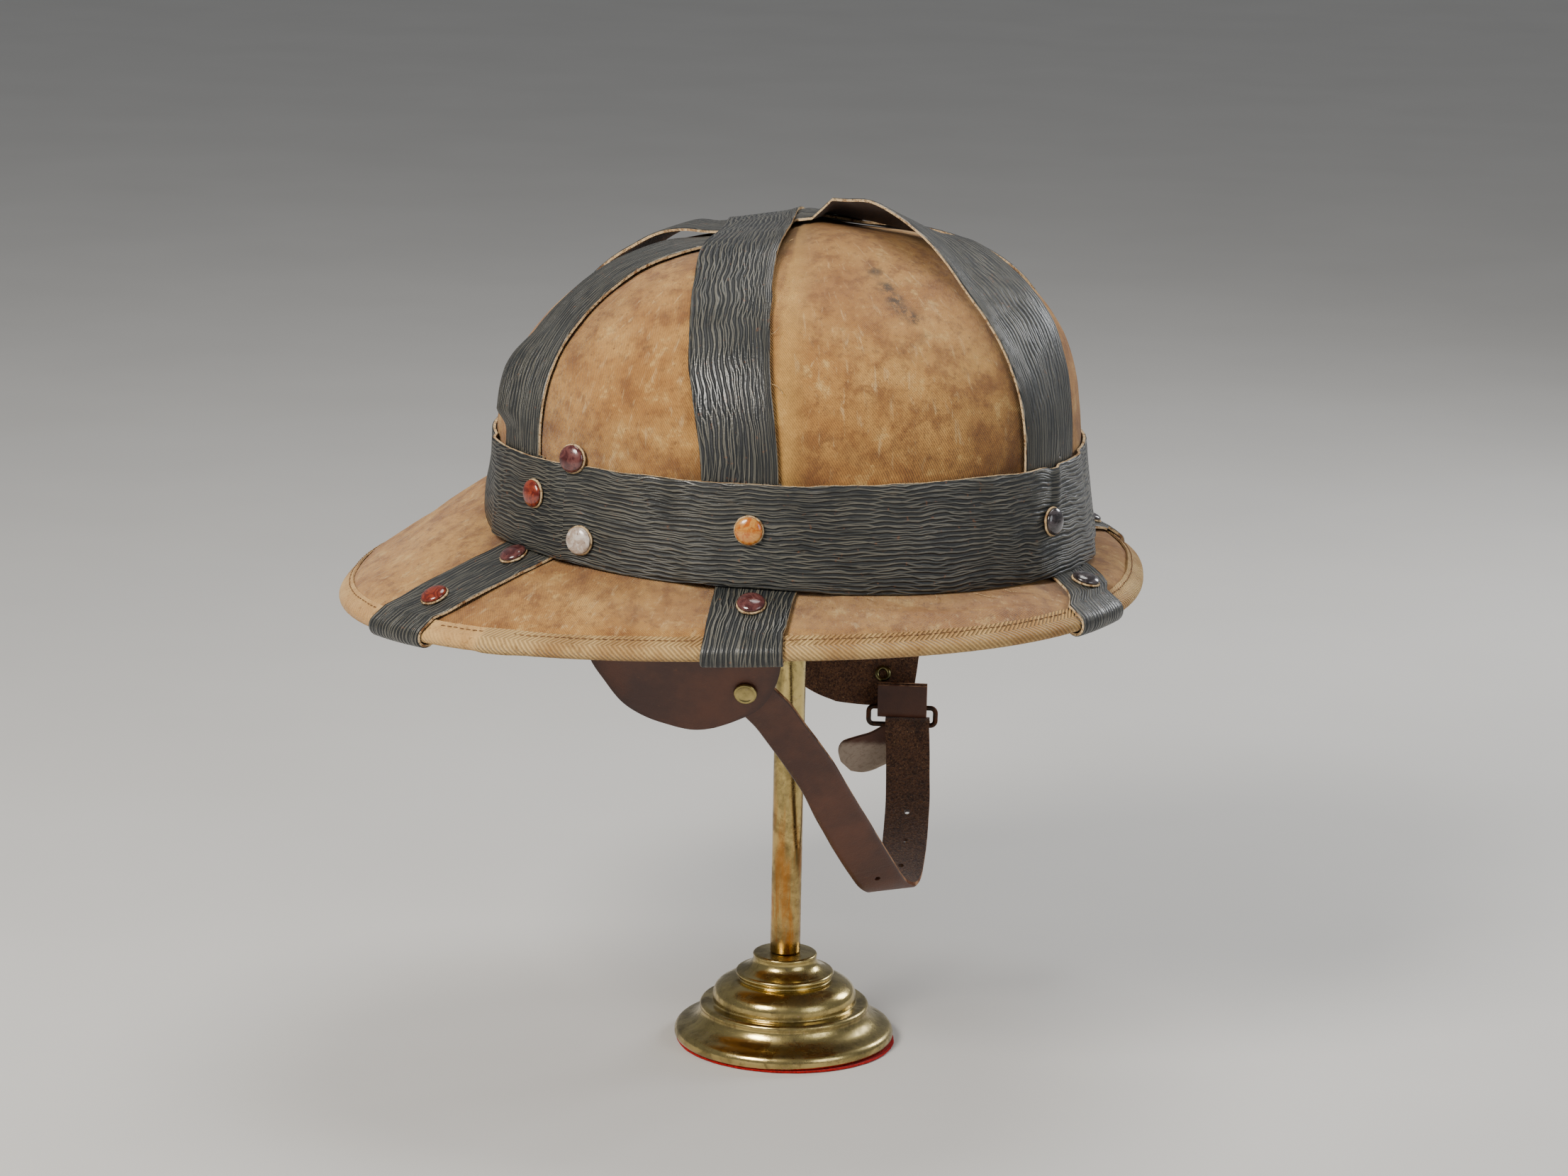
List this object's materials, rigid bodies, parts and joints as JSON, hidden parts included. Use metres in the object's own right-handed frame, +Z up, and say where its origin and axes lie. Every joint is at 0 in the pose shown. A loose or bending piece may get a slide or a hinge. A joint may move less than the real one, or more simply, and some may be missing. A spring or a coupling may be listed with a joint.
{
  "type": "pith helmet on a brass hat stand",
  "caption": "Cloth-covered moulded sun helmet with grained leather straps, ear flaps and a chin strap, resting on a plain turned brass hat stand.",
  "frame": {"origin": "the middle of the stand's felt foot, on the surface that it stands on", "axes": "+X to the helmet's front, +Y to its left side, +Z up along the stand's pole"},
  "size_m": [0.3317, 0.2856, 0.3606],
  "materials": {
    "canvas": "matt twill",
    "binding_tape": "matt herringbone",
    "grained_leather": "grained, worn satin",
    "brown_leather": "smooth, worn",
    "stud_enamel": "glossy",
    "brass": "tarnished, polished high spots",
    "dark_metal": "dark, dull",
    "red_felt": "felt"
  },
  "bodies": {
    "root": {"crown": "canvas", "brim": "canvas", "brim_binding": "binding_tape", "crown_strap_side": "grained_leather", "crown_strap_fore": "grained_leather", "crown_strap_aft": "grained_leather", "band": "grained_leather", "brim_strap_1": "grained_leather", "brim_strap_2": "grained_leather", "brim_strap_3": "grained_leather", "brim_strap_4": "grained_leather", "brim_strap_5": "grained_leather", "brim_strap_6": "grained_leather", "band_stud_1": "stud_enamel", "band_stud_2": "stud_enamel", "band_stud_3": "stud_enamel", "band_stud_4": "stud_enamel", "band_stud_5": "stud_enamel", "band_stud_6": "stud_enamel", "band_stud_7": "stud_enamel", "band_stud_8": "stud_enamel", "brim_stud_1": "stud_enamel", "brim_stud_2": "stud_enamel", "brim_stud_3": "stud_enamel", "brim_stud_4": "stud_enamel", "brim_stud_5": "stud_enamel", "brim_stud_6": "stud_enamel", "brim_stud_7": "stud_enamel", "ear_flap_right": "brown_leather", "ear_flap_left": "brown_leather", "snap_disc": "brass", "flap_eyelet": "brass", "keeper_loop": "brown_leather", "buckle": "dark_metal", "chin_strap": "brown_leather", "stand_felt": "red_felt", "stand_base": "brass", "stand_pole": "brass", "stand_head": "brass"}
  },
  "joints": []
}
